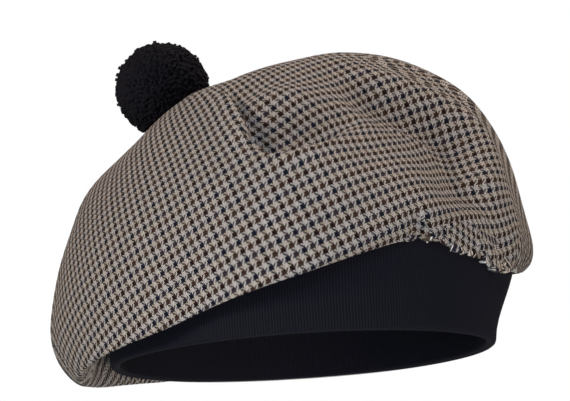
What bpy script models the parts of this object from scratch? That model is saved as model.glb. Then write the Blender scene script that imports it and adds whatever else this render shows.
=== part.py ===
"""A tam o'shanter: a round tweed crown gathered to a ribbed knit band, with a yarn pompom.

Metres, +Z up along the band's own axis, the wearer's face towards -Y and their right towards -X.
The origin is the middle of the band's lower edge, where the head goes in.
"""

import math

import bmesh
import bpy
from mathutils import Vector

MM = 0.001
UP = Vector((0.0, 0.0, 1.0))
GAP = 0.4 * MM

# The band: a knitted oval, longer from front to back, whose top leans out on the wearer's left,
# up to the height given.
BAND_HALF_WIDTH = 81.0 * MM
BAND_HALF_LENGTH = 97.0 * MM
BAND_WALL = 4.0 * MM
BAND_DEPTH = 50.0 * MM
BAND_LEAN_LEFT = 12.5 * MM
BAND_LEAN_RIGHT = 3.0 * MM
BAND_LEAN_TO = 40.0 * MM
BAND_ROUND = 1.6 * MM
BAND_ROUND_STEPS = 4
BAND_LEVELS = (0.35, 0.7, 1.0)
BAND_SIDES = 48

# The crown: tweed, whose middle is tied down under the pompom.
CLOTH = 2.0 * MM
TIE = Vector((-45.0, 34.0, 111.5)) * MM
TIE_FACING = Vector((-0.22, 0.26, 1.0)).normalized()
TIE_FLAT = 11.0 * MM
TOP_PART = 0.43
TURN_BELOW = 3.0 * MM
TURN_OUT = 1.2 * MM
UNDER_OUT = 1.8 * MM
CROWN_SIDES = 84

# The crown's sections stand closest together round this bearing, where the cloth is folded most.
CROWDED_AT = 30.0
CROWDED = 0.42

# How many steps the crown's faces take along each span of a section, from the band to the tie.
SPAN_STEPS = {
    "edge": 1, "corner": 1, "turn": 1, "under": 2, "fold": 3, "side": 4, "shoulder": 9, "top": 3,
    "flat": 1,
}
PRESSED_FROM = "fold"

# One row for each section of the crown, in degrees round from the wearer's front to their left
# and in millimetres. The cloth leaves the band, turns at its fold, reaches furthest out at its
# side, bends in at its shoulder and passes its top on the way to the tie.
SECTION_COLUMNS = (
    "bearing", "fold_in", "fold_z", "reach", "side_z", "shoulder_in", "shoulder_z", "top_z"
)
SECTIONS = (
    (-165, 6, 3, 112, 20, 16, 76, 106),
    (-135, 14, -3, 113, 16, 15, 73, 99),
    (-105, 14, -7, 112.5, 17, 15.5, 73, 97),
    (-75, 5, -2, 107, 29, 14, 66, 98),
    (-45, 4, 8, 104, 36, 13, 71, 109),
    (-15, 3, 22, 113, 36, 13, 79, 120),
    (15, 4, 37, 107, 49, 16, 74, 127),
    (45, 4, 28, 104, 46, 14, 84, 135),
    (75, 5, 33, 106, 49, 22, 114.5, 141.5),
    (105, 6, 36, 106, 48, 21, 113, 141.5),
    (135, 6, 26, 108, 40, 16, 102, 136),
    (165, 6, 14, 111, 30, 15, 89, 125),
)

# Folds pressed into the crown, in millimetres. Each hollow follows its route and is wider on its
# left by the slack. Its floor is drawn under the lip that stands along its right. It starts with
# the share given by the floor, and comes and goes over the lengths given. A depth below nought
# is a rise.
FOLDS = (
    {
        "name": "tuck", "width": 8, "slack": 1.8, "depth": 12, "under": 5, "lip": 4, "floor": 0.35,
        "starts": 60, "ends": 6,
        "route": (
            (-41, -32, 119), (-34, -47, 116), (-31, -58, 111), (-30, -68, 104), (-29, -76, 97),
            (-30, -84, 90), (-32, -90, 84),
        ),
    },
    {
        "name": "crease", "width": 7, "slack": 2.4, "depth": 10, "under": 2, "lip": 2, "floor": 0.4,
        "starts": 3, "ends": 45,
        "route": ((-34, -91, 83), (-26, -93, 83), (-16, -90, 86), (-7, -83, 91), (5, -73, 96)),
    },
    {
        "name": "brow", "width": 9, "slack": 1.0, "depth": -4, "under": 0, "lip": 0, "floor": 0.3,
        "starts": 10, "ends": 20,
        "route": ((-33, -63, 108), (-20, -64, 108), (-6, -67, 105)),
    },
    {
        "name": "valley", "width": 10, "slack": 2.0, "depth": 12, "under": 0, "lip": 4, "floor": 0.3,
        "starts": 22, "ends": 30,
        "route": (
            (64, -82, 52), (58, -79, 70), (59, -67, 82), (57, -58, 94), (42, -57, 103), (28, -54, 111),
            (14, -46, 121),
        ),
    },
)
LIP_AWAY = 1.4
ROUTE_STEPS = 6

# The gathers: the crown's lower edge ripples where it is drawn up on the wearer's left.
GATHER_FROM = 12.0
GATHER_TO = 84.0
GATHER_COUNT = 4
GATHER_RISE = 0.7 * MM
GATHER_REACH = 0.8 * MM

# The pompom: yarn locks standing on a round core, flattened where it is tied down.
POMPOM_RADIUS = 23.5 * MM
POMPOM_CORE = 19.0 * MM
POMPOM_SEAT = 21.0 * MM
LOCK_TIP = 0.62


def material(name, colour, roughness):
    made = bpy.data.materials.new(name)
    made.use_nodes = True
    shader = made.node_tree.nodes["Principled BSDF"]
    shader.inputs["Base Color"].default_value = (*colour, 1.0)
    shader.inputs["Roughness"].default_value = roughness
    shader.inputs["Metallic"].default_value = 0.0
    return made


def place(name, mesh, finish):
    made = bpy.data.objects.new(name, mesh)
    bpy.context.scene.collection.objects.link(made)
    mesh.materials.append(finish)
    mesh.shade_smooth()
    return made


def smooth(part):
    part = max(0.0, min(1.0, part))
    return part * part * (3 - 2 * part)


def through(before, start, end, after, part):
    """A cubic from start to end that also heeds the points on either side."""
    leave = (end - before) * 0.5
    arrive = (after - start) * 0.5
    square, cube = part ** 2, part ** 3
    return (
        start * (2 * cube - 3 * square + 1) + leave * (cube - 2 * square + part)
        + end * (3 * square - 2 * cube) + arrive * (cube - square)
    )


def outward(bearing):
    return Vector((math.sin(bearing), -math.cos(bearing), 0.0))


def band_radius(bearing, height, out=0.0):
    """How far the band's inner face, moved out by a distance, lies from its axis."""
    sine, cosine = math.sin(bearing), math.cos(bearing)
    oval = 1.0 / math.hypot(sine / (BAND_HALF_WIDTH + out), cosine / (BAND_HALF_LENGTH + out))
    lean = BAND_LEAN_LEFT if sine > 0 else BAND_LEAN_RIGHT
    return oval + lean * smooth(height / BAND_LEAN_TO) * sine ** 2


def band_profile():
    """The band's wall in section, as distances out and heights, round its lower edge first."""
    rounded = []
    for step in range(BAND_ROUND_STEPS + 1):
        turn = math.pi * step / BAND_ROUND_STEPS
        out = 0.5 * BAND_WALL * (1 - math.cos(turn))
        rounded.append((out, BAND_ROUND * (1 - math.sin(turn))))
    outside = [(BAND_WALL, BAND_DEPTH * level) for level in BAND_LEVELS]
    inside = [(0.0, BAND_DEPTH * level) for level in reversed(BAND_LEVELS)]
    return rounded + outside + inside


def headband(finish):
    profile = band_profile()
    count = len(profile)
    points, faces = [], []
    for side in range(BAND_SIDES):
        bearing = 2 * math.pi * side / BAND_SIDES
        here, after = side * count, (side + 1) % BAND_SIDES * count
        for row, (out, height) in enumerate(profile):
            points.append(outward(bearing) * band_radius(bearing, height, out) + UP * height)
            above = (row + 1) % count
            faces.append((here + row, after + row, after + above, here + above))
    mesh = bpy.data.meshes.new("headband")
    mesh.from_pydata(points, [], faces)
    return place("headband", mesh, finish)


def ripple(degrees):
    """The rise and fall of the gathered lower edge, between -1 and 1."""
    along = (degrees - GATHER_FROM) / (GATHER_TO - GATHER_FROM)
    if not 0.0 < along < 1.0:
        return 0.0
    return math.sin(along * GATHER_COUNT * 2 * math.pi) * math.sin(along * math.pi)


def section_sizes(bearing):
    """The crown's sizes at one bearing, read smoothly between the rows of the table."""
    degrees = math.degrees(bearing)
    row_at = (degrees - SECTIONS[0][0]) * len(SECTIONS) / 360.0
    row = math.floor(row_at)
    near = [SECTIONS[(row + step) % len(SECTIONS)] for step in (-1, 0, 1, 2)]
    size = {}
    for column, name in enumerate(SECTION_COLUMNS):
        size[name] = through(*(float(each[column]) for each in near), row_at - row) * MM
    size["fold_z"] += GATHER_RISE * ripple(degrees)
    size["reach"] += GATHER_REACH * ripple(degrees)
    return size


def section_knots(bearing):
    """The named points that one section of the crown's outer face passes through."""
    size = section_sizes(bearing)
    out = outward(bearing)
    side = out * size["reach"]
    tie_below = Vector((TIE.x, TIE.y, 0.0))
    inward = (tie_below - side).normalized()
    shoulder = side + inward * size["shoulder_in"]
    corner_r = band_radius(bearing, BAND_DEPTH, BAND_WALL) + GAP
    turn_z = BAND_DEPTH - TURN_BELOW
    turn_r = band_radius(bearing, turn_z, BAND_WALL) + TURN_OUT
    under_z = 0.5 * (size["fold_z"] + turn_z)
    under_r = band_radius(bearing, under_z, BAND_WALL) + UNDER_OUT
    spread = side - tie_below
    spread = (spread - TIE_FACING * spread.dot(TIE_FACING)).normalized()
    return {
        "edge": out * band_radius(bearing, BAND_DEPTH, 0.5 * BAND_WALL) + UP * (BAND_DEPTH + GAP),
        "corner": out * corner_r + UP * (BAND_DEPTH + 2.0 * GAP),
        "turn": out * turn_r + UP * turn_z,
        "under": out * under_r + UP * under_z,
        "fold": out * (size["reach"] - size["fold_in"]) + UP * size["fold_z"],
        "side": side + UP * size["side_z"],
        "shoulder": shoulder + UP * size["shoulder_z"],
        "top": shoulder.lerp(tie_below, TOP_PART) + UP * size["top_z"],
        "flat": TIE + spread * TIE_FLAT,
        "tie": TIE,
    }


def section_line(bearing):
    """The points along one section, up to the tie, which all the sections share."""
    knots = list(section_knots(bearing).values())
    padded = [knots[0] * 2 - knots[1]] + knots + [knots[-1]]
    line = []
    for span, steps in enumerate(SPAN_STEPS.values()):
        for step in range(steps):
            line.append(through(*padded[span:span + 4], step / steps))
    return line


def smooth_route(corners):
    """The corners of a route, in millimetres, joined by a smooth line."""
    knots = [Vector(corner) for corner in corners]
    padded = [knots[0] * 2 - knots[1]] + knots + [knots[-1] * 2 - knots[-2]]
    spans = range(len(knots) - 1)
    steps = range(ROUTE_STEPS)
    line = [through(*padded[span:span + 4], step / ROUTE_STEPS) for span in spans for step in steps]
    return line + [knots[-1]]


def nearest_on_route(point, route):
    """The way from a route to a point, the route's run there and how far both its ends are."""
    lengths = [(end - start).length for start, end in zip(route, route[1:])]
    best = None
    for index, (start, end) in enumerate(zip(route, route[1:])):
        run = end - start
        part = max(0.0, min(1.0, (point - start).dot(run) / run.length_squared))
        away = point - start - run * part
        if best is None or away.length < best[0].length:
            done = sum(lengths[:index]) + lengths[index] * part
            best = (away, run.normalized(), done, sum(lengths) - done)
    return best


def pressed(point, facing, routes):
    """How the folds move a point of the crown's outer face."""
    moved = Vector((0.0, 0.0, 0.0))
    for fold, route in zip(FOLDS, routes):
        away, along, done, left = nearest_on_route(point / MM, route)
        across = along.cross(facing)
        across /= max(across.length, 0.2)
        level = away - facing * away.dot(facing)
        past = level.dot(along) if done == 0.0 or left < 1e-6 else 0.0
        side = math.copysign(math.sqrt(max(0.0, level.length_squared - past ** 2)), level.dot(across))
        side /= fold["width"]
        beyond = (past ** 2 + away.dot(facing) ** 2) / fold["width"] ** 2
        strength = smooth(done / fold["starts"] + fold["floor"])
        strength *= smooth(left / fold["ends"] + fold["floor"]) * math.exp(-beyond)
        lip = strength * math.exp(-(side - LIP_AWAY) ** 2)
        hollow = strength * math.exp(-(side / fold["slack"] if side < 0 else side) ** 2)
        moved += facing * (fold["lip"] * lip - fold["depth"] * hollow)
        moved += across * fold["under"] * hollow
    return moved * MM


def press_folds(mesh, first):
    routes = [smooth_route(fold["route"]) for fold in FOLDS]
    facings = [vert.normal.copy() for vert in mesh.vertices]
    for vert, facing in zip(mesh.vertices[first:], facings[first:]):
        vert.co += pressed(vert.co, facing, routes)
    mesh.update()


def split_faces(mesh):
    """Cuts each four-sided face across its shorter way, so that the folds' sides stay even."""
    work = bmesh.new()
    work.from_mesh(mesh)
    bmesh.ops.triangulate(work, faces=work.faces[:], quad_method="SHORT_EDGE")
    work.to_mesh(mesh)
    work.free()


def crown(finish):
    turns = [2 * math.pi * side / CROWN_SIDES - math.pi for side in range(CROWN_SIDES)]
    turns = [turn - CROWDED * math.sin(turn - math.radians(CROWDED_AT)) for turn in turns]
    lines = [section_line(bearing) for bearing in turns]
    rows = len(lines[0])
    points = [lines[side][row] for row in range(rows) for side in range(CROWN_SIDES)]
    points.append(TIE)
    faces = []
    for side in range(CROWN_SIDES):
        after = (side + 1) % CROWN_SIDES
        for row in range(rows - 1):
            low, high = row * CROWN_SIDES, (row + 1) * CROWN_SIDES
            faces.append((low + side, low + after, high + after, high + side))
        last = (rows - 1) * CROWN_SIDES
        faces.append((last + side, last + after, len(points) - 1))
    mesh = bpy.data.meshes.new("crown")
    mesh.from_pydata(points, [], faces)
    mesh.update()
    spans = list(SPAN_STEPS)
    rows_before = sum(SPAN_STEPS[span] for span in spans[:spans.index(PRESSED_FROM)])
    press_folds(mesh, rows_before * CROWN_SIDES)
    split_faces(mesh)
    made = place("crown", mesh, finish)
    wall = made.modifiers.new("cloth", "SOLIDIFY")
    wall.thickness = CLOTH
    wall.offset = -1.0
    return made


def pompom(finish):
    work = bmesh.new()
    bmesh.ops.create_icosphere(work, subdivisions=3, radius=POMPOM_CORE)
    locks = bmesh.ops.extrude_discrete_faces(work, faces=work.faces[:])["faces"]
    for lock in locks:
        middle = lock.calc_center_median()
        for vert in lock.verts:
            tip = middle + (vert.co - middle) * LOCK_TIP
            vert.co = tip * (POMPOM_RADIUS / tip.length)
            vert.co.z = max(vert.co.z, -POMPOM_SEAT)
    seat = TIE_FACING.to_track_quat("Z", "Y").to_matrix().to_4x4()
    seat.translation = TIE + TIE_FACING * (POMPOM_SEAT + GAP)
    bmesh.ops.transform(work, matrix=seat, verts=work.verts)
    mesh = bpy.data.meshes.new("pompom")
    work.to_mesh(mesh)
    work.free()
    return place("pompom", mesh, finish)


def build():
    for old in list(bpy.data.objects):
        bpy.data.objects.remove(old, do_unlink=True)
    crown(material("tweed", (0.27, 0.22, 0.17), 0.9))
    headband(material("black_knit", (0.012, 0.013, 0.02), 0.85))
    pompom(material("black_yarn", (0.008, 0.008, 0.01), 0.9))


build()
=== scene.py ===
import math

import bpy
import numpy as np
from mathutils import Matrix, Vector, noise


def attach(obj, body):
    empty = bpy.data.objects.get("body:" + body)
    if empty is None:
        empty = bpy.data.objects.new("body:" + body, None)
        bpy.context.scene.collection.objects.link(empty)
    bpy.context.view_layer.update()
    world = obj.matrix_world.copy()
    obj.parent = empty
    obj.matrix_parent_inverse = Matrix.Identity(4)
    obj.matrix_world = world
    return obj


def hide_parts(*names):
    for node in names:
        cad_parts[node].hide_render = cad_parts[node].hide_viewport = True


mm = 0.001
up = Vector((0.0, 0.0, 1.0))

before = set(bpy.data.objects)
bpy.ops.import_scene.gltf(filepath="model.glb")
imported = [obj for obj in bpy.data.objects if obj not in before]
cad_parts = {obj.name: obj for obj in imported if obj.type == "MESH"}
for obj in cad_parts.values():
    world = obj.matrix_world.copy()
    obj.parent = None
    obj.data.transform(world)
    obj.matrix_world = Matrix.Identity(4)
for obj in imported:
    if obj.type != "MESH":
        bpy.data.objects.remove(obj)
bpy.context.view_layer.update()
bpy.ops.object.select_all(action="DESELECT")
print("frame loaded:", ", ".join(sorted(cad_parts)))


studio = {
    "azimuth": -15.0,          # degrees, round from the wearer's front towards their right
    "elevation": -6.0,         # degrees, from a little below the band
    "roll": 3.2,               # degrees, the hat's own left-to-right line climbs in the photo
    "distance": 1.1,           # from the middle of the band's lower edge
    "millimetresPerPixel": 0.45,
    "imageWidth": 570,
    "imageHeight": 401,
    "openingPixel": (302, 358),  # where the middle of the band's lower edge lies in the photo
    "sensor": 36.0,
    "floorHeight": -1.2,
    "floorSize": 12.0,
    "skyStrength": 0.18,
    "skyLean": (0.09, 0.06, 0.0),      # the sky is brighter towards the wearer's left and back
    "backdropStrength": 1.0,
    "lampTarget": (-0.02, -0.04, 0.07),
    "key": {
        "place": (-0.35, -0.95, 0.4), "target": (-0.035, -0.1, 0.075), "radius": 0.12, "cone": 22.0,
        "watts": 12.6, "colour": (0.62, 0.77, 1.0),
    },
}


def photoAxes():
    turn, tip, roll = (math.radians(studio[k]) for k in ("azimuth", "elevation", "roll"))
    back = Vector((math.sin(turn) * math.cos(tip), -math.cos(turn) * math.cos(tip), math.sin(tip)))
    level = Vector((math.cos(turn), math.sin(turn), 0.0))
    upright = back.cross(level)
    right = level * math.cos(roll) - upright * math.sin(roll)
    return right, level * math.sin(roll) + upright * math.cos(roll), back


def photoLens():
    # the camera's right, its up, the way it looks and where it stands
    right, above, back = photoAxes()
    eye = back * studio["distance"]
    pixel = studio["millimetresPerPixel"] * mm
    aside = (studio["imageWidth"] / 2 - studio["openingPixel"][0]) * pixel
    higher = (studio["openingPixel"][1] - studio["imageHeight"] / 2) * pixel
    look = (right * aside + above * higher - eye).normalized()
    side = look.cross(above).normalized()
    return side, side.cross(look), look, eye


def aimCamera():
    right, above, look, eye = photoLens()
    bpy.ops.object.camera_add(location=eye)
    camera = bpy.context.object
    camera.name = "photoCamera"
    facing = Matrix((right, above, -look)).transposed()
    camera.matrix_world = Matrix.Translation(eye) @ facing.to_4x4()
    camera.data.sensor_width = studio["sensor"]
    wide = studio["imageWidth"] * studio["millimetresPerPixel"] * mm
    camera.data.lens = studio["sensor"] * studio["distance"] / wide
    camera.data.clip_end = 50.0
    bpy.context.scene.camera = camera


def lightStudio():
    lamps = (
        # name, place, width in metres, watts, colour
        ("sideLight", (-0.95, -0.55, 0.45), 0.2, 5.6, (1.0, 0.82, 0.7)),
        ("lowSideLight", (-1.0, -0.3, 0.1), 0.3, 1.6, (1.0, 0.98, 0.94)),
        ("fillLight", (-0.3, -0.75, -0.6), 0.5, 4.4, (0.72, 0.87, 1.0)),
        ("lowFillLight", (0.5, -0.8, -0.5), 0.5, 3.2, (1.0, 0.82, 0.7)),
        ("topLight", (0.6, 0.0, 1.1), 0.5, 9.0, (1.0, 0.84, 0.72)),
    )
    for name, place, width, watts, colour in lamps:
        bpy.ops.object.light_add(type="AREA", location=place)
        lamp = bpy.context.object
        lamp.name = name
        lamp.data.size = width
        lamp.data.energy = watts
        lamp.data.color = colour
        aim = Vector(place) - Vector(studio["lampTarget"])
        lamp.rotation_euler = aim.to_track_quat("Z", "Y").to_euler()
    key = studio["key"]
    bpy.ops.object.light_add(type="SPOT", location=key["place"])
    lamp = bpy.context.object
    lamp.name = "keyLight"
    lamp.data.energy = key["watts"]
    lamp.data.color = key["colour"]
    lamp.data.shadow_soft_size = key["radius"]
    lamp.data.spot_size = math.radians(key["cone"])
    lamp.data.spot_blend = 1.0
    aim = Vector(key["place"]) - Vector(key["target"])
    lamp.rotation_euler = aim.to_track_quat("Z", "Y").to_euler()
    world = bpy.data.worlds.new("studioWorld")
    bpy.context.scene.world = world
    world.use_nodes = True
    nodes, links = world.node_tree.nodes, world.node_tree.links
    sky = nodes["Background"]
    sky.inputs["Color"].default_value = (1.0, 1.0, 1.0, 1.0)
    direction = nodes.new("ShaderNodeTexCoord")
    lean = nodes.new("ShaderNodeVectorMath")
    lean.operation = "DOT_PRODUCT"
    lean.inputs[1].default_value = studio["skyLean"]
    brightness = nodes.new("ShaderNodeMath")
    brightness.inputs[1].default_value = studio["skyStrength"]
    links.new(direction.outputs["Generated"], lean.inputs[0])
    links.new(lean.outputs["Value"], brightness.inputs[0])
    links.new(brightness.outputs[0], sky.inputs["Strength"])
    backdrop = nodes.new("ShaderNodeBackground")
    backdrop.inputs["Color"].default_value = (1.0, 1.0, 1.0, 1.0)
    backdrop.inputs["Strength"].default_value = studio["backdropStrength"]
    path = nodes.new("ShaderNodeLightPath")
    pick = nodes.new("ShaderNodeMixShader")
    links.new(path.outputs["Is Camera Ray"], pick.inputs[0])
    links.new(sky.outputs[0], pick.inputs[1])
    links.new(backdrop.outputs[0], pick.inputs[2])
    links.new(pick.outputs[0], nodes["World Output"].inputs["Surface"])


def layFloor():
    bpy.ops.mesh.primitive_plane_add(size=studio["floorSize"], location=(0, 0, studio["floorHeight"]))
    floor = bpy.context.object
    floor.name = "studioFloor"
    paint = bpy.data.materials.new("paleFloor")
    paint.use_nodes = True
    paint.node_tree.nodes["Principled BSDF"].inputs["Base Color"].default_value = (0.9, 0.9, 0.9, 1)
    paint.node_tree.nodes["Principled BSDF"].inputs["Roughness"].default_value = 0.8
    floor.data.materials.append(paint)


aimCamera()
lightStudio()
layFloor()
bpy.context.scene.view_settings.view_transform = "Standard"
print("camera, lights and floor are in place")


class Wire:
    # A socket that takes part in sums: every operation on it adds a Math node.
    def __init__(self, finish, socket):
        self.finish = finish
        self.socket = socket

    def math(self, operation, *inputs):
        return self.finish.node("ShaderNodeMath", {"operation": operation}, dict(enumerate(inputs)))

    def __add__(self, other):
        return self.math("ADD", self, other)

    def __radd__(self, other):
        return self.math("ADD", other, self)

    def __sub__(self, other):
        return self.math("SUBTRACT", self, other)

    def __rsub__(self, other):
        return self.math("SUBTRACT", other, self)

    def __mul__(self, other):
        return self.math("MULTIPLY", self, other)

    def __rmul__(self, other):
        return self.math("MULTIPLY", other, self)

    def __truediv__(self, other):
        return self.math("DIVIDE", self, other)

    def __mod__(self, other):
        return self.math("FLOORED_MODULO", self, other)

    def __lt__(self, other):
        return self.math("LESS_THAN", self, other)

    def __pow__(self, other):
        return self.math("POWER", self, other)

    def whole(self):
        return self.math("FLOOR", self)

    def size(self):
        return self.math("ABSOLUTE", self)

    def fade(self, low, high):
        return self.finish.node("ShaderNodeMapRange", {}, {0: self, 1: low, 2: high})

    def sine(self):
        return self.math("SINE", self)


class Finish:
    # A material whose nodes are added by expressions.
    def __init__(self, name, constants):
        self.material = bpy.data.materials.new(name)
        self.material.use_nodes = True
        self.tree = self.material.node_tree
        self.shader = self.tree.nodes["Principled BSDF"]
        for socket, value in constants.items():
            self.shader.inputs[socket].default_value = value

    def node(self, kind, settings, sockets, out=0):
        made = self.tree.nodes.new(kind)
        for name, value in settings.items():
            setattr(made, name, value)
        for key, value in sockets.items():
            self.feed(made.inputs[key], value)
        return Wire(self, made.outputs[out])

    def feed(self, socket, value):
        if isinstance(value, Wire):
            self.tree.links.new(value.socket, socket)
        else:
            socket.default_value = value

    def part(self, vector, axis):
        return self.node("ShaderNodeSeparateXYZ", {}, {0: vector}, out=axis)

    def mix(self, share, first, second, blend="MIX"):
        colours = [(*c, 1.0) if isinstance(c, tuple) else c for c in (first, second)]
        settings = {"data_type": "RGBA", "blend_type": blend}
        return self.node("ShaderNodeMix", settings, {0: share, 6: colours[0], 7: colours[1]}, out=2)

    def grey(self, shade):
        return self.node("ShaderNodeCombineColor", {}, {0: shade, 1: shade, 2: shade})

    def grain(self, where, scale, detail=2.0):
        sockets = {"Vector": where, "Scale": scale, "Detail": detail}
        return self.node("ShaderNodeTexNoise", {}, sockets)

    def bump(self, height, depth):
        sockets = {"Height": height, "Distance": depth, "Strength": 1.0}
        return self.node("ShaderNodeBump", {}, sockets)

    def set(self, colour, normal):
        self.feed(self.shader.inputs["Base Color"], colour)
        self.feed(self.shader.inputs["Normal"], normal)


band = {
    "halfWidth": 81.0 * mm,
    "halfLength": 97.0 * mm,
    "wall": 4.0 * mm,
    "depth": 50.0 * mm,
    "leanLeft": 12.5 * mm,
    "leanRight": 3.0 * mm,
    "leanTo": 40.0 * mm,       # the height above which it leans no further
    "gap": 0.4 * mm,
}


def smooth(part):
    part = np.clip(part, 0.0, 1.0)
    return part * part * (3 - 2 * part)


def through(before, start, end, after, part):
    # a cubic from start to end that also heeds the points on either side
    leave = (end - before) * 0.5
    arrive = (after - start) * 0.5
    square, cube = part ** 2, part ** 3
    return (
        start * (2 * cube - 3 * square + 1) + leave * (cube - 2 * square + part)
        + end * (3 * square - 2 * cube) + arrive * (cube - square)
    )


def outward(bearing):
    return Vector((math.sin(bearing), -math.cos(bearing), 0.0))


def bandRadius(bearing, height, out=0.0):
    sine, cosine = math.sin(bearing), math.cos(bearing)
    oval = 1.0 / math.hypot(sine / (band["halfWidth"] + out), cosine / (band["halfLength"] + out))
    lean = band["leanLeft"] if sine > 0 else band["leanRight"]
    return oval + lean * smooth(height / band["leanTo"]) * sine ** 2


crown = {
    "tie": Vector((-45.0, 34.0, 111.5)) * mm,
    "tieFacing": Vector((-0.22, 0.26, 1.0)).normalized(),
    "tieFlat": 11.0 * mm,
    "topPart": 0.43,
    "turnBelow": 3.0 * mm,
    "turnOut": 1.2 * mm,
    "underOut": 1.8 * mm,
    "cloth": 2.0 * mm,
    "sides": 168,
    "crowdedAt": 30.0,         # the bearing round which the cloth's lines stand closest
    "crowded": 0.42,
    "steps": {
        "edge": 1, "corner": 1, "turn": 2, "under": 4, "fold": 7, "side": 9, "shoulder": 22,
        "top": 12, "flat": 4,
    },
    "pressedFrom": 6,          # the row from which the folds press on the cloth, in full after three
    "pressedOver": 3,
    "columns": (
        "bearing", "foldIn", "foldHeight", "reach", "sideHeight", "shoulderIn", "shoulderHeight",
        "topHeight",
    ),
    "sections": (
        (-165, 6, 3, 112, 20, 16, 76, 106),
        (-135, 14, -3, 113, 16, 15, 73, 99),
        (-105, 14, -7, 112.5, 17, 15.5, 73, 97),
        (-75, 5, -2, 107, 29, 14, 66, 98),
        (-45, 4, 8, 104, 36, 13, 71, 109),
        (-15, 3, 22, 113, 36, 13, 79, 120),
        (15, 4, 37, 107, 49, 16, 74, 127),
        (45, 4, 28, 104, 46, 14, 84, 135),
        (75, 5, 33, 106, 49, 22, 114.5, 141.5),
        (105, 6, 36, 106, 48, 21, 113, 141.5),
        (135, 6, 26, 108, 40, 16, 102, 136),
        (165, 6, 14, 111, 30, 15, 89, 125),
    ),
    # each hollow's route in millimetres, its width, how many times wider its far side is, its
    # depth, how far its floor is drawn under its lip, the lip's height, how much of all this it has
    # where it starts, and the run-in at both ends
    "folds": {
        "tuck": {
            "width": 8, "slack": 1.8, "depth": 12, "under": 9, "lip": 4, "floor": 0.35,
            "starts": 60, "ends": 6,
            "route": (
                (-41, -32, 119), (-34, -47, 116), (-31, -58, 111), (-30, -68, 104), (-29, -76, 97),
                (-30, -84, 90), (-32, -90, 84),
            ),
        },
        "crease": {
            "width": 7, "slack": 2.4, "depth": 12, "under": 3, "lip": 2, "floor": 0.4,
            "starts": 3, "ends": 45,
            "route": ((-34, -91, 83), (-26, -93, 83), (-16, -90, 86), (-7, -83, 91), (5, -73, 96)),
        },
        "brow": {
            "width": 9, "slack": 1.0, "depth": -4, "under": 0, "lip": 0, "floor": 0.3,
            "starts": 10, "ends": 20,
            "route": ((-33, -63, 108), (-20, -64, 108), (-6, -67, 105)),
        },
        "valley": {
            "width": 10, "slack": 2.0, "depth": 12, "under": 0, "lip": 4, "floor": 0.3,
            "starts": 22, "ends": 30,
            "route": (
                (64, -82, 52), (58, -79, 70), (59, -67, 82), (57, -58, 94), (42, -57, 103), (28, -54, 111),
                (14, -46, 121),
            ),
        },
        "pinch": {
            "width": 3.2, "slack": 1.5, "depth": 5, "under": 1, "lip": 1, "floor": 0.5,
            "starts": 2, "ends": 12,
            "route": ((27, -98, 35), (28, -102, 41), (26, -106, 48)),
        },
        "roll": {
            "width": 3.4, "slack": 1.2, "depth": 2.2, "under": 0.5, "lip": 0.8, "floor": 0.6,
            "starts": 4, "ends": 25,
            "route": ((28, -102, 43), (43, -95, 44), (58, -85, 42), (72, -74, 38)),
        },
    },
    "lipAway": 1.4,            # from the hollow's middle to its lip's, in the hollow's widths
    "routeSteps": 6,
    "gatherFrom": 12.0,
    "gatherTo": 84.0,
    "gatherCount": 4,
    "gatherRise": 0.7 * mm,
    "gatherReach": 0.8 * mm,
    # ruffles in degrees along the gathered edge: where they lie, one ruffle's width, how far its
    # ridge leans for each row up the cloth, its depth, the rows that it rises and falls over, how
    # many run-ins make up the whole stretch, and how much chance changes its depth and its place
    "ruffles": {
        "from": 15.0, "to": 84.0, "width": 5.6, "slant": 0.3, "depth": 0.35 * mm,
        "rows": (3.0, 8.0, 10.0, 16.0), "runIns": 6, "chance": 0.4, "chanceScale": 60, "stray": 0.8,
    },
    "wrinkle": 0.5 * mm,
    "wrinkleScale": 45.0,
    "flatDiameter": 0.39,      # of the round piece that the crown is gathered from
}

pattern = {
    "everySide": 4,            # the cloth is flattened on every fourth line and every second row
    "everyRow": 2,
    "rounds": 60,
    "seenTo": 90.0 * mm,
    "edgeOn": 0.25,            # how far cloth must face the view to follow it, on the wearer's left
    "edgeOnFrom": 60.0 * mm,   # how far left of the middle that holds in full
    "unseen": 0.035,
    "leastFacing": 0.05,
    "leastPull": 0.05,
    "lieReach": 30.0,
    "lieSoft": 0.05,
    # how the threads lie in the photo: a spot's column and row, how many degrees the weft climbs
    # to the right there, and how many the warp leans to the left
    "lies": (
        (110, 260, 35, 17), (110, 320, 43, 25), (105, 372, 35, 20), (150, 230, 35, 12), (200, 160, 40, 8),
        (200, 260, 35, 22), (250, 200, 29, 27), (290, 115, 37, 61), (300, 200, 25, 28), (340, 90, 11, 62),
        (350, 150, 12, 35), (350, 250, 22, 28), (400, 90, 7, 42), (400, 150, 10, 39), (400, 250, 22, 23),
        (450, 150, -2, 32), (500, 230, -13, 38),
    ),
}

tweed = {
    "warpRepeat": 3.5 * mm,    # one houndstooth repeat across the warp, of eight threads
    "weftRepeat": 3.95 * mm,
    "threads": 8,
    "warpCover": 0.55,         # how much of its own width a thread on top hides
    "weftCover": 0.43,
    # painted shadow: the lower thread seen in the gaps between floats is darkened to this share
    "paintedGapShadow": 0.14,
    "lightWarp": (0.82, 0.755, 0.69),
    "lightWefts": ((0.84, 0.725, 0.59), (0.82, 0.77, 0.725)),
    "warpDarks": ((0.008, 0.007, 0.010), (0.085, 0.052, 0.038)),
    "weftDarks": ((0.080, 0.030, 0.016), (0.027, 0.033, 0.068)),
    "gapSoft": 0.05,
    "evenShade": 0.76,         # a thread's shade, and what each thread and the heather add to it
    "threadShade": 0.12,
    "heatherShade": 0.26,
    "heatherScale": 2600.0,
    "threadRound": 0.6,        # the power that flattens a thread's arch over the one below
    "fuzz": 0.35,
    "relief": 0.25 * mm,
}


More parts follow.
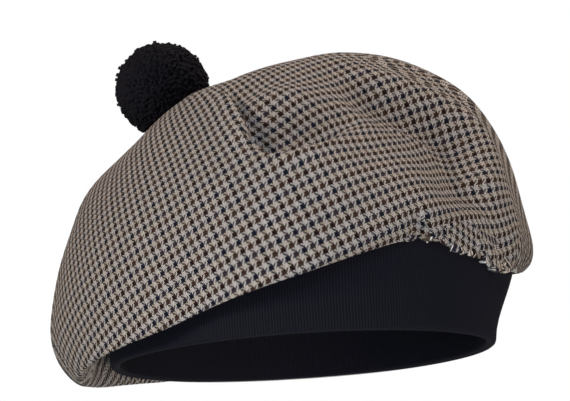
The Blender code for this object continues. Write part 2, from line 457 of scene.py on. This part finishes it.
def ripple(degrees):
    along = (degrees - crown["gatherFrom"]) / (crown["gatherTo"] - crown["gatherFrom"])
    if not 0.0 < along < 1.0:
        return 0.0
    return math.sin(along * crown["gatherCount"] * 2 * math.pi) * math.sin(along * math.pi)


def sectionSizes(bearing):
    rows = crown["sections"]
    degrees = math.degrees(bearing)
    rowAt = (degrees - rows[0][0]) * len(rows) / 360.0
    row = math.floor(rowAt)
    near = [rows[(row + step) % len(rows)] for step in (-1, 0, 1, 2)]
    size = {}
    for column, name in enumerate(crown["columns"]):
        size[name] = through(*(float(each[column]) for each in near), rowAt - row) * mm
    size["foldHeight"] += crown["gatherRise"] * ripple(degrees)
    size["reach"] += crown["gatherReach"] * ripple(degrees)
    return size


def sectionKnots(bearing):
    size = sectionSizes(bearing)
    out = outward(bearing)
    wall, depth, gap = band["wall"], band["depth"], band["gap"]
    side = out * size["reach"]
    tie = crown["tie"]
    tieBelow = Vector((tie.x, tie.y, 0.0))
    shoulder = side + (tieBelow - side).normalized() * size["shoulderIn"]
    turnHeight = depth - crown["turnBelow"]
    underHeight = 0.5 * (size["foldHeight"] + turnHeight)
    spread = side - tieBelow
    spread = (spread - crown["tieFacing"] * spread.dot(crown["tieFacing"])).normalized()
    return {
        "edge": out * bandRadius(bearing, depth, 0.5 * wall) + up * (depth + gap),
        "corner": out * (bandRadius(bearing, depth, wall) + gap) + up * (depth + 2.0 * gap),
        "turn": out * (bandRadius(bearing, turnHeight, wall) + crown["turnOut"]) + up * turnHeight,
        "under": out * (bandRadius(bearing, underHeight, wall) + crown["underOut"]) + up * underHeight,
        "fold": out * (size["reach"] - size["foldIn"]) + up * size["foldHeight"],
        "side": side + up * size["sideHeight"],
        "shoulder": shoulder + up * size["shoulderHeight"],
        "top": shoulder.lerp(tieBelow, crown["topPart"]) + up * size["topHeight"],
        "flat": tie + spread * crown["tieFlat"],
        "tie": tie,
    }


def sectionLine(bearing):
    knots = list(sectionKnots(bearing).values())
    padded = [knots[0] * 2 - knots[1]] + knots + [knots[-1]]
    line = []
    for span, steps in enumerate(crown["steps"].values()):
        for step in range(steps):
            line.append(through(*padded[span:span + 4], step / steps))
    return line + [crown["tie"]]


def nearestOnRoute(points, route):
    # the way from a route to each point, the route's run there and how far both its ends are
    lengths = [np.linalg.norm(end - start) for start, end in zip(route, route[1:])]
    away = np.full_like(points, 1e6)
    along = np.zeros_like(points)
    done = np.zeros(len(points))
    for index, (start, end) in enumerate(zip(route, route[1:])):
        run = (end - start) / lengths[index]
        part = np.clip((points - start) @ run, 0, lengths[index])
        gap = points - start - part[:, None] * run
        nearer = (gap ** 2).sum(1) < (away ** 2).sum(1)
        away[nearer] = gap[nearer]
        along[nearer] = run
        done[nearer] = sum(lengths[:index]) + part[nearer]
    return away, along, done, sum(lengths) - done


def smoothRoute(corners):
    knots = np.array(corners, float)
    padded = np.concatenate([[knots[0] * 2 - knots[1]], knots, [knots[-1] * 2 - knots[-2]]])
    steps = crown["routeSteps"]
    line = [through(*padded[span:span + 4], step / steps) for span in range(len(knots) - 1)
            for step in range(steps)]
    return np.array(line + [knots[-1]])


def pressed(points, facings):
    # where the folds move points of the crown's outer face, given in metres
    moved = np.zeros_like(points)
    for fold in crown["folds"].values():
        away, along, done, left = nearestOnRoute(points / mm, smoothRoute(fold["route"]))
        across = np.cross(along, facings)
        across /= np.maximum(np.linalg.norm(across, axis=1), 0.2)[:, None]
        off = (away * facings).sum(1)
        level = away - off[:, None] * facings
        past = (level * along).sum(1) * ((done == 0) | (left < 1e-6))
        side = np.sqrt(np.maximum(0, (level ** 2).sum(1) - past ** 2)) / fold["width"]
        side = np.copysign(side, (level * across).sum(1))
        strength = smooth(done / fold["starts"] + fold["floor"])
        strength *= smooth(left / fold["ends"] + fold["floor"])
        strength *= np.exp(-(past ** 2 + off ** 2) / fold["width"] ** 2)
        lip = strength * np.exp(-(side - crown["lipAway"]) ** 2)
        hollow = strength * np.exp(-np.where(side < 0, side / fold["slack"], side) ** 2)
        moved += (fold["lip"] * lip - fold["depth"] * hollow)[:, None] * facings
        moved += (fold["under"] * hollow)[:, None] * across
    return moved * mm


def facingsOf(mesh):
    facings = np.zeros(len(mesh.vertices) * 3)
    mesh.vertices.foreach_get("normal", facings)
    return facings.reshape(-1, 3)


def placesOf(mesh):
    places = np.zeros(len(mesh.vertices) * 3)
    mesh.vertices.foreach_get("co", places)
    return places.reshape(-1, 3)


def crownTurns():
    # the bearings of the cloth's lines, which stand closer together where it is folded and gathered
    even = 2 * math.pi * np.arange(crown["sides"]) / crown["sides"] - math.pi
    middle = math.radians(crown["crowdedAt"])
    return even - crown["crowded"] * np.sin(even - middle)


def makeCrown():
    sides = crown["sides"]
    lines = [sectionLine(bearing) for bearing in crownTurns()]
    lines.append(lines[0])
    rows = len(lines[0])
    bpy.ops.object.select_all(action="DESELECT")
    bpy.ops.mesh.primitive_grid_add(x_subdivisions=sides, y_subdivisions=rows - 1, size=2.0)
    cloth = bpy.context.object
    cloth.name = "tweedCrown"
    mesh = cloth.data
    order = sorted(range(len(mesh.vertices)), key=lambda v: (
        round(mesh.vertices[v].co.x, 5), round(mesh.vertices[v].co.y, 5)))
    for name in ("side", "row"):
        mesh.attributes.new(name, "FLOAT", "POINT")
    for number, vertex in enumerate(order):
        side, row = divmod(number, rows)
        mesh.vertices[vertex].co = lines[side][row]
        mesh.attributes["side"].data[vertex].value = side % sides
        mesh.attributes["row"].data[vertex].value = row
    bpy.ops.object.mode_set(mode="EDIT")
    bpy.ops.mesh.select_all(action="SELECT")
    bpy.ops.mesh.remove_doubles(threshold=0.01 * mm)
    bpy.ops.mesh.normals_make_consistent(inside=False)
    bpy.ops.object.mode_set(mode="OBJECT")
    return cloth


def ruffled(places, rows):
    # how far the ruffles and the faint wrinkles lift each point of the cloth
    ruffles = crown["ruffles"]
    bearings = np.degrees(np.arctan2(places[:, 0], -places[:, 1]))
    along = (bearings - ruffles["from"]) / (ruffles["to"] - ruffles["from"])
    low, full, still, high = ruffles["rows"]
    reach = smooth((rows - low) / (full - low)) * smooth((high - rows) / (high - still))
    reach *= smooth(along * ruffles["runIns"]) * smooth((1 - along) * ruffles["runIns"])
    chance = np.array([noise.noise(Vector(place) * ruffles["chanceScale"]) for place in places])
    chance *= ruffles["chance"]
    ridge = (bearings + ruffles["slant"] * (rows - full)) / ruffles["width"] + ruffles["stray"] * chance
    lift = ruffles["depth"] * reach * (1 + chance) * np.sin(2 * math.pi * ridge)
    broad = [noise.noise(Vector(place) * crown["wrinkleScale"]) for place in places]
    return lift + crown["wrinkle"] * np.array(broad)


def foldCrown(mesh):
    places, facings = placesOf(mesh), facingsOf(mesh)
    rows = np.zeros(len(mesh.vertices))
    mesh.attributes["row"].data.foreach_get("value", rows)
    loose = smooth((rows - crown["pressedFrom"]) / crown["pressedOver"])[:, None]
    places += loose * pressed(places, facings) + ruffled(places, rows)[:, None] * facings
    mesh.vertices.foreach_set("co", places.ravel())
    mesh.update()


def clothTriangles(sides, rows):
    # the corners of the grid's triangles, where the last row is the single point at the tie
    side, row = (each.ravel() for each in np.indices((sides, rows - 1)))
    after = (side + 1) % sides
    tie = sides * (rows - 1)

    def number(atSide, atRow):
        return np.where(atRow == rows - 1, tie, atSide * (rows - 1) + atRow)

    low, lowAfter = number(side, row), number(after, row)
    high, highAfter = number(side, row + 1), number(after, row + 1)
    first = np.stack([low, lowAfter, highAfter], 1)
    second = np.stack([low, highAfter, high], 1)
    return np.concatenate([first, second[high != highAfter]])


def threadLies(middles):
    # how the weft and the warp run in the photo where each point shows there, as unit numbers
    right, above, look, eye = (np.array(each) for each in photoLens())
    away = middles - eye
    pixels = studio["distance"] / (studio["millimetresPerPixel"] * mm)
    column = studio["imageWidth"] / 2 + pixels * (away @ right) / (away @ look)
    row = studio["imageHeight"] / 2 - pixels * (away @ above) / (away @ look)
    weft, warp = 0, 0
    for spotColumn, spotRow, weftClimb, warpLean in pattern["lies"]:
        apart = ((column - spotColumn) ** 2 + (row - spotRow) ** 2) / pattern["lieReach"] ** 2
        share = 1 / (pattern["lieSoft"] + apart) ** 2
        weft = weft + share * np.exp(1j * math.radians(weftClimb))
        warp = warp + share * np.exp(1j * math.radians(90 + warpLean))
    return weft / abs(weft), warp / abs(warp)


def flatten(points, triangles, spots):
    # lays the worn cloth flat at its true size: its threads run as the photo shows where it is
    # seen, and elsewhere each small triangle only keeps its own shape
    corners = points[triangles]
    edge, other = corners[:, 1] - corners[:, 0], corners[:, 2] - corners[:, 0]
    length = np.linalg.norm(edge, axis=1)
    facing = np.cross(edge, other)
    twice = np.maximum(np.linalg.norm(facing, axis=1), 1e-12)
    east, facing = edge / length[:, None], facing / twice[:, None]
    north = np.cross(facing, east)
    local = np.stack([0 * length, length + 0j, (other * east).sum(1) + 1j * (other * north).sum(1)], 1)

    right, above, look, eye = (np.array(each) for each in photoLens())
    middles = corners.mean(axis=1)
    sight = middles - eye
    sight /= np.linalg.norm(sight, axis=1)[:, None]
    towards = -(sight * facing).sum(1)
    turns = []
    for lie in threadLies(middles):
        level = right * lie.real[:, None] + above * lie.imag[:, None]
        depth = (level * facing).sum(1) / np.maximum(towards, pattern["leastFacing"])
        level += sight * depth[:, None]
        turns.append((level * east).sum(1) + 1j * (level * north).sum(1))
    worn = np.conj(turns[0] / abs(turns[0])) + 1j * np.conj(turns[1] / abs(turns[1]))
    worn /= np.maximum(abs(worn), 1e-9)
    edgeOn = pattern["edgeOn"] * np.clip(middles[:, 0] / pattern["edgeOnFrom"], 0, 1)
    seen = np.clip((towards - edgeOn) / (1 - edgeOn), 0, 1)
    seen *= np.clip(0.5 - middles[:, 1] / pattern["seenTo"], 0, 1)
    weight = seen + pattern["unseen"]

    starts, ends, pulls, steps = [], [], [], []
    for a, b, c in ((0, 1, 2), (1, 2, 0), (2, 0, 1)):
        toA, toB = local[:, a] - local[:, c], local[:, b] - local[:, c]
        pull = np.maximum((toA * np.conj(toB)).real / twice, pattern["leastPull"]) * weight
        starts += [triangles[:, a], triangles[:, b]]
        ends += [triangles[:, b], triangles[:, a]]
        pulls += [pull, pull]
        steps += [local[:, a] - local[:, b], local[:, b] - local[:, a]]
    starts, ends, pulls = np.concatenate(starts), np.concatenate(ends), np.concatenate(pulls)
    steps = np.concatenate(steps)
    count = len(points)
    net = np.zeros((count, count))
    np.add.at(net, (starts, starts), pulls)
    np.add.at(net, (starts, ends), -pulls)
    net[0, 0] += pulls.mean()
    net = np.linalg.inv(net)
    share = seen / weight
    for _ in range(pattern["rounds"]):
        gap = (spots[starts] - spots[ends]) * np.conj(steps) * pulls
        own = gap.reshape(6, -1).sum(axis=0)
        own /= np.maximum(abs(own), 1e-12)
        turn = share * worn + (1 - share) * own
        moved = pulls * np.tile(turn, 6) * steps
        pulled = np.bincount(starts, moved.real, count) + 1j * np.bincount(starts, moved.imag, count)
        spots = net @ pulled
    return spots


def layPattern(cloth):
    mesh = cloth.data
    count = len(mesh.vertices)
    side, row = np.zeros(count), np.zeros(count)
    mesh.attributes["side"].data.foreach_get("value", side)
    mesh.attributes["row"].data.foreach_get("value", row)
    side, row = side.astype(int), row.astype(int)
    sides, rows = crown["sides"], row.max() + 1
    grid = np.zeros((sides, rows, 3))
    places = placesOf(mesh)
    grid[side, row] = places + pressed(places, facingsOf(mesh))
    grid[:, -1] = crown["tie"]
    everySide, everyRow = pattern["everySide"], pattern["everyRow"]
    rough = grid[::everySide, ::everyRow]
    steps = np.linalg.norm(np.diff(grid[::everySide], axis=1), axis=2)
    run = np.pad(steps[:, ::-1].cumsum(axis=1)[:, ::-1], ((0, 0), (0, 1)))
    bearing = crownTurns()[::everySide, None]
    disc = (run * np.exp(1j * (bearing - math.pi / 2)))[:, ::everyRow]
    points = np.concatenate([rough[:, :-1].reshape(-1, 3), rough[:1, -1]])
    flat = flatten(points, clothTriangles(*rough.shape[:2]), np.append(disc[:, :-1].ravel(), 0))
    known = np.full(rough.shape[:2], flat[-1])
    known[:, :-1] = flat[:-1].reshape(len(rough), -1)
    spots = np.array([np.interp(-far, -far[::everyRow], line) for far, line in zip(run, known)])
    at = np.arange(sides) / everySide
    low = at.astype(int)
    near = [spots[(low + step) % len(rough)] for step in (-1, 0, 1, 2)]
    fine = through(*near, (at - low)[:, None])
    fine -= fine.mean()
    corners = np.zeros(len(mesh.loops), int)
    mesh.loops.foreach_get("vertex_index", corners)
    spot = fine[side, row][corners]
    chart = mesh.uv_layers[0]
    chart.name = "cloth"
    chart.data.foreach_set("uv", np.stack([spot.real, spot.imag], 1).ravel())
    print("cloth pattern laid over", sides * rows, "points")


def tweedFinish():
    made = Finish("houndstoothTweed", {
        "Roughness": 0.9, "Sheen Weight": 0.01, "Sheen Roughness": 0.5, "Specular IOR Level": 0.05,
    })
    chart = made.node("ShaderNodeUVMap", {"uv_map": "cloth"}, {})
    across = made.part(chart, 0) / (tweed["warpRepeat"] / tweed["threads"])
    along = made.part(chart, 1) / (tweed["weftRepeat"] / tweed["threads"])
    half = tweed["threads"] // 2
    warp, weft = across.whole(), along.whole()
    acrossPart, alongPart = across % 1, along % 1
    warpLight = ((warp + half) % tweed["threads"]) < half - 0.5
    weftLight = ((weft + half) % tweed["threads"]) < half - 0.5
    # the twill climbs right among the light warp threads and left among the dark ones
    onTop = (weft + (1 - 2 * warpLight) * warp + 2 - warpLight) % 4
    warpShows = onTop < 1.5
    warpOdd = (warp / tweed["threads"]).whole() % 2
    weftOdd = (weft / tweed["threads"]).whole() % 2
    warpColour = made.mix(warpLight, made.mix(warpOdd, *tweed["warpDarks"]), tweed["lightWarp"])
    darkWeft, lightWeft = (made.mix(weftOdd, *tweed[each]) for each in ("weftDarks", "lightWefts"))
    weftColour = made.mix(weftLight, darkWeft, lightWeft)
    topColour = made.mix(warpShows, weftColour, warpColour)
    lowColour = made.mix(warpShows, warpColour, weftColour)
    # painted shadow in the gaps between the floats: the thread below is darkened
    lowColour = made.mix(1.0, lowColour, (tweed["paintedGapShadow"],) * 3, "MULTIPLY")
    offMiddle = ((warpShows * acrossPart + (1 - warpShows) * alongPart) - 0.5).size()
    cover = tweed["weftCover"] + (tweed["warpCover"] - tweed["weftCover"]) * warpShows
    gap = (offMiddle - 0.5 * cover).fade(-tweed["gapSoft"], tweed["gapSoft"])
    warpTint = made.node("ShaderNodeTexWhiteNoise", {"noise_dimensions": "1D"}, {"W": warp})
    weftTint = made.node("ShaderNodeTexWhiteNoise", {"noise_dimensions": "1D"}, {"W": weft + 0.37})
    heather = made.grain(chart, tweed["heatherScale"])
    shade = tweed["evenShade"] + tweed["threadShade"] * warpTint + tweed["threadShade"] * weftTint
    shade = shade + tweed["heatherShade"] * heather
    # the top thread with the painted gap shadow at its edges, times the random thread and heather tones
    colour = made.mix(1.0, made.mix(gap, topColour, lowColour), made.grey(shade), "MULTIPLY")
    warpRun = (onTop + alongPart) * (math.pi / 2)
    weftRun = (warpLight * (3 - onTop) + (1 - warpLight) * (onTop - 2) + acrossPart) * (math.pi / 2)
    warpHeight = (acrossPart * math.pi).sine() * warpRun.sine() ** tweed["threadRound"]
    weftHeight = (alongPart * math.pi).sine() * weftRun.sine() ** tweed["threadRound"]
    height = warpShows * warpHeight + (1 - warpShows) * weftHeight + tweed["fuzz"] * heather
    made.set(colour=colour, normal=made.bump(height, tweed["relief"]))
    return made.material


def dressCrown():
    cloth = makeCrown()
    layPattern(cloth)
    divide = cloth.modifiers.new("finer", "SUBSURF")
    divide.levels = divide.render_levels = 1
    divide.uv_smooth = "SMOOTH_ALL"
    bpy.context.view_layer.objects.active = cloth
    bpy.ops.object.modifier_apply(modifier="finer")
    foldCrown(cloth.data)
    wall = cloth.modifiers.new("cloth", "SOLIDIFY")
    wall.thickness = crown["cloth"]
    wall.offset = -1.0
    bpy.ops.object.modifier_apply(modifier="cloth")
    bpy.ops.object.shade_smooth()
    cloth.data.materials.clear()
    cloth.data.materials.append(tweedFinish())
    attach(cloth, "root")
    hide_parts("crown")
    print("crown:", len(cloth.data.polygons), "faces")


dressCrown()


knit = {
    "ribs": 500,
    "cornersPerRib": 4,
    "ribDepth": 0.32 * mm,
    "scallop": 0.3 * mm,
    "edgeRound": 1.6 * mm,
    "edgeSteps": 5,
    "sideSteps": 10,
    "stitch": 0.95 * mm,
    "wander": 0.5 * mm,        # how far the ribs stray sideways
    # the black yarn painted lit on the rib crests and stitch legs, and painted in shade in the grooves
    # between them
    "paintedLitYarn": (0.0088, 0.0086, 0.016),
    "darkYarnAndPaintedShade": (0.0032, 0.0032, 0.0066),
    "crestShare": 0.75,        # how much of the painted shading comes from the ribs' lit crests and shaded grooves, the rest from its loops
    "legSlant": 1.6,
    "legHeight": 0.6,
    "fuzz": 0.5,
    "fuzzScale": 3.0,
    "relief": 0.15 * mm,
}


def knitProfile():
    # the wall in section from the top of its outside, round its lower edge and up its inside:
    # distance out, height, share of the ribs' depth, share of the scallops
    steps = knit["sideSteps"]
    outside = [(band["wall"], band["depth"] + (knit["edgeRound"] - band["depth"]) * step / steps, 1.0, 0.0)
               for step in range(steps)]
    rounded = []
    for step in range(knit["edgeSteps"] + 1):
        turn = math.pi * step / knit["edgeSteps"]
        out = 0.5 * band["wall"] * (1 + math.cos(turn))
        rounded.append((out, knit["edgeRound"] * (1 - math.sin(turn)), 1.0 - 0.4 * step / knit["edgeSteps"],
                        math.sin(turn)))
    inside = [(0.0, height, 0.6, 0.0) for _, height, _, _ in reversed(outside[::2])]
    return np.array(outside + rounded + inside)


def makeBand():
    profile = knitProfile()
    columns, rows = knit["ribs"] * knit["cornersPerRib"], len(profile)
    bpy.ops.object.select_all(action="DESELECT")
    bpy.ops.mesh.primitive_grid_add(x_subdivisions=columns, y_subdivisions=rows, size=2.0)
    knitted = bpy.context.object
    knitted.name = "ribbedBand"
    mesh = knitted.data
    spots = np.zeros(len(mesh.vertices) * 3)
    mesh.vertices.foreach_get("co", spots)
    spots = spots.reshape(-1, 3)
    column = np.rint((spots[:, 0] + 1) / 2 * columns).astype(int)
    row = np.rint((spots[:, 1] + 1) / 2 * rows).astype(int) % rows
    out, height, ribbed, scalloped = profile[row].T
    bearing = column * 2 * math.pi / columns
    wave = np.cos(column * 2 * math.pi / knit["cornersPerRib"])
    wander = knit["wander"] * np.sin(3 * bearing + 40 * height) * np.sin(7 * bearing + 1.0)
    bearing = bearing + wander / band["halfWidth"]
    out = out + knit["ribDepth"] * wave * ribbed
    height = height - knit["scallop"] * wave * scalloped
    sine, cosine = np.sin(bearing), np.cos(bearing)
    oval = 1 / np.hypot(sine / (band["halfWidth"] + out), cosine / (band["halfLength"] + out))
    lean = np.where(sine > 0, band["leanLeft"], band["leanRight"])
    away = oval + lean * smooth(height / band["leanTo"]) * sine ** 2
    places = np.stack([sine * away, -cosine * away, height], 1)
    mesh.vertices.foreach_set("co", places.ravel())
    run = np.append(0, np.hypot(*np.diff(profile[:, :2], axis=0).T).cumsum())
    run = np.append(run, run[-1] + band["wall"]) / knit["stitch"]
    chart = np.zeros(len(mesh.loops) * 2)
    mesh.uv_layers[0].data.foreach_get("uv", chart)
    chart = chart.reshape(-1, 2)
    chart[:, 0] *= knit["ribs"]
    chart[:, 1] = np.interp(chart[:, 1] * rows, np.arange(rows + 1), run)
    mesh.uv_layers[0].name = "stitches"
    mesh.uv_layers[0].data.foreach_set("uv", chart.ravel())
    bpy.ops.object.mode_set(mode="EDIT")
    bpy.ops.mesh.select_all(action="SELECT")
    bpy.ops.mesh.remove_doubles(threshold=0.01 * mm)
    bpy.ops.mesh.normals_make_consistent(inside=False)
    bpy.ops.object.mode_set(mode="OBJECT")
    bpy.ops.object.shade_smooth()
    return knitted


def knitFinish():
    made = Finish("blackRibKnit", {
        "Roughness": 0.85, "Sheen Weight": 0.03, "Sheen Roughness": 0.5, "Specular IOR Level": 0.16,
    })
    chart = made.node("ShaderNodeUVMap", {"uv_map": "stitches"}, {})
    rib, course = made.part(chart, 0), made.part(chart, 1)
    crest = 0.5 + 0.5 * (rib * (2 * math.pi) + math.pi / 2).sine()
    fromCrest = (((rib + 0.5) % 1) - 0.5).size()
    leg = 0.5 + 0.5 * ((course + fromCrest * knit["legSlant"]) * (2 * math.pi)).sine()
    fuzz = made.grain(chart, knit["fuzzScale"], detail=4.0)
    height = leg * knit["legHeight"] + knit["fuzz"] * fuzz
    # painted shading: lighter on the rib crests and stitch legs, darker in the grooves between ribs and
    # loops
    shade = crest * knit["crestShare"] + leg * (1 - knit["crestShare"])
    colour = made.mix(shade, knit["darkYarnAndPaintedShade"], knit["paintedLitYarn"])
    made.set(colour=colour, normal=made.bump(height, knit["relief"]))
    return made.material


def dressBand():
    knitted = makeBand()
    knitted.data.materials.append(knitFinish())
    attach(knitted, "root")
    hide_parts("headband")
    print("band:", len(knitted.data.polygons), "faces")


dressBand()


yarn = {
    "ends": 5600,
    "radius": 23.8 * mm,
    "seat": 21.0 * mm,         # from the ball's middle to where it rests on the crown
    "core": 18.0 * mm,
    "root": 15.0 * mm,
    "thickness": 1.25 * mm,
    "sides": 5,
    "spread": 0.16,            # how much the ends turn aside, and how far that carries them
    "carry": 6.0 * mm,
    "jitter": 0.01,
    "lumps": 0.05,
    "lumpScale": 2.2,
    "uneven": 0.55 * mm,
    "longer": 1.3 * mm,        # how much longer a few ends are, and the share of them
    "longShare": 0.07,
    "taller": 1.4 * mm,        # how much further the yarn stands out on top
    "thin": 0.8,               # the thinnest and the thickest end, in the usual thickness
    "thick": 1.2,
    "seed": 4,
    # the pompom's lighter and darker yarn tones, which noise mixes at random
    "tipYarn": (0.0125, 0.0115, 0.018),
    "darkYarnAndPaintedShade": (0.003, 0.003, 0.0046),
    "strandScale": 2400.0,
    "clumpScale": 260.0,
    "relief": 0.3 * mm,
}


def makeYarnEnd():
    # one cut end of yarn, one unit long, a little swollen where it was cut
    bpy.ops.object.select_all(action="DESELECT")
    bpy.ops.mesh.primitive_cylinder_add(vertices=yarn["sides"], radius=0.5, depth=0.6, location=(0, 0, 0.3))
    end = bpy.context.object
    bpy.ops.object.mode_set(mode="EDIT")
    bpy.ops.mesh.select_mode(type="FACE")
    bpy.ops.mesh.select_all(action="DESELECT")
    bpy.ops.object.mode_set(mode="OBJECT")
    for face in end.data.polygons:
        face.select = face.normal.z > 0.9
    bpy.ops.object.mode_set(mode="EDIT")
    bpy.ops.mesh.extrude_region_move(TRANSFORM_OT_translate={"value": (0, 0, 0.4)})
    bpy.ops.transform.resize(value=(1.25, 1.25, 1.0))
    bpy.ops.mesh.poke(offset=-0.04)
    bpy.ops.mesh.select_all(action="SELECT")
    bpy.ops.mesh.quads_convert_to_tris()
    bpy.ops.object.mode_set(mode="OBJECT")
    return end


def makePompom():
    end = makeYarnEnd()
    shape = np.zeros(len(end.data.vertices) * 3)
    end.data.vertices.foreach_get("co", shape)
    shape = shape.reshape(-1, 3)
    triangles = np.array([list(face.vertices) for face in end.data.polygons if face.normal.z > -0.9])
    bpy.data.objects.remove(end)
    chance = np.random.default_rng(yarn["seed"])
    count = yarn["ends"]
    number = np.arange(count) + 0.5
    level = 1 - 2 * number / count
    turn = number * math.pi * (3 - math.sqrt(5))
    level = np.clip(level + chance.normal(0, yarn["jitter"], count), -1, 1)
    flat = np.sqrt(1 - level ** 2)
    facing = np.stack([flat * np.cos(turn), flat * np.sin(turn), level], 1)
    bent = facing + chance.normal(0, yarn["spread"], (count, 3))
    bent /= np.linalg.norm(bent, axis=1)[:, None]
    lumps = np.array([noise.noise(Vector(each) * yarn["lumpScale"]) for each in facing])
    reach = yarn["radius"] * (1 + yarn["lumps"] * lumps) + chance.normal(0, yarn["uneven"], count)
    reach += yarn["longer"] * (chance.random(count) > 1 - yarn["longShare"]) + yarn["taller"] * level
    reach = np.minimum(reach, np.where(facing[:, 2] < 0, yarn["seat"] / np.maximum(-facing[:, 2], 1e-3), 1))
    start = facing * yarn["root"]
    run = facing * reach[:, None] - start + (bent - facing) * yarn["carry"]
    length = np.linalg.norm(run, axis=1)
    run /= length[:, None]
    side = np.cross(run, chance.normal(0, 1, (count, 3)))
    side /= np.linalg.norm(side, axis=1)[:, None]
    other = np.cross(run, side)
    thick = yarn["thickness"] * chance.uniform(yarn["thin"], yarn["thick"], count)
    points = (
        start[:, None] + shape[None, :, 2:3] * (run * length[:, None])[:, None]
        + shape[None, :, 0:1] * (side * thick[:, None])[:, None]
        + shape[None, :, 1:2] * (other * thick[:, None])[:, None]
    )
    points[:, :, 2] = np.maximum(points[:, :, 2], -yarn["seat"])
    faces = triangles[None] + (np.arange(count) * len(shape))[:, None, None]
    mesh = bpy.data.meshes.new("yarnPompom")
    mesh.from_pydata(points.reshape(-1, 3).tolist(), [], faces.reshape(-1, 3).tolist())
    ball = bpy.data.objects.new("yarnPompom", mesh)
    bpy.context.scene.collection.objects.link(ball)
    bpy.ops.object.select_all(action="DESELECT")
    bpy.ops.mesh.primitive_ico_sphere_add(subdivisions=4, radius=yarn["core"])
    core = bpy.context.object
    ball.select_set(True)
    bpy.context.view_layer.objects.active = ball
    bpy.ops.object.join()
    facing = crown["tieFacing"]
    seat = facing.to_track_quat("Z", "Y").to_matrix().to_4x4()
    seat.translation = crown["tie"] + facing * (yarn["seat"] + band["gap"])
    mesh.transform(seat)
    for face in mesh.polygons:
        face.use_smooth = True
    return ball


def yarnFinish():
    made = Finish("blackCutYarn", {
        "Roughness": 0.9, "Sheen Weight": 0.015, "Sheen Roughness": 0.6, "Specular IOR Level": 0.12,
    })
    place = made.node("ShaderNodeTexCoord", {}, {}, out="Object")
    strands = made.grain(place, yarn["strandScale"], detail=3.0)
    clumps = made.grain(place, yarn["clumpScale"])
    colour = made.mix(strands * 0.7 + clumps * 0.5, yarn["darkYarnAndPaintedShade"], yarn["tipYarn"])
    made.set(colour=colour, normal=made.bump(strands, yarn["relief"]))
    return made.material


def dressPompom():
    ball = makePompom()
    ball.data.materials.append(yarnFinish())
    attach(ball, "root")
    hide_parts("pompom")
    print("pompom:", len(ball.data.polygons), "faces")


dressPompom()
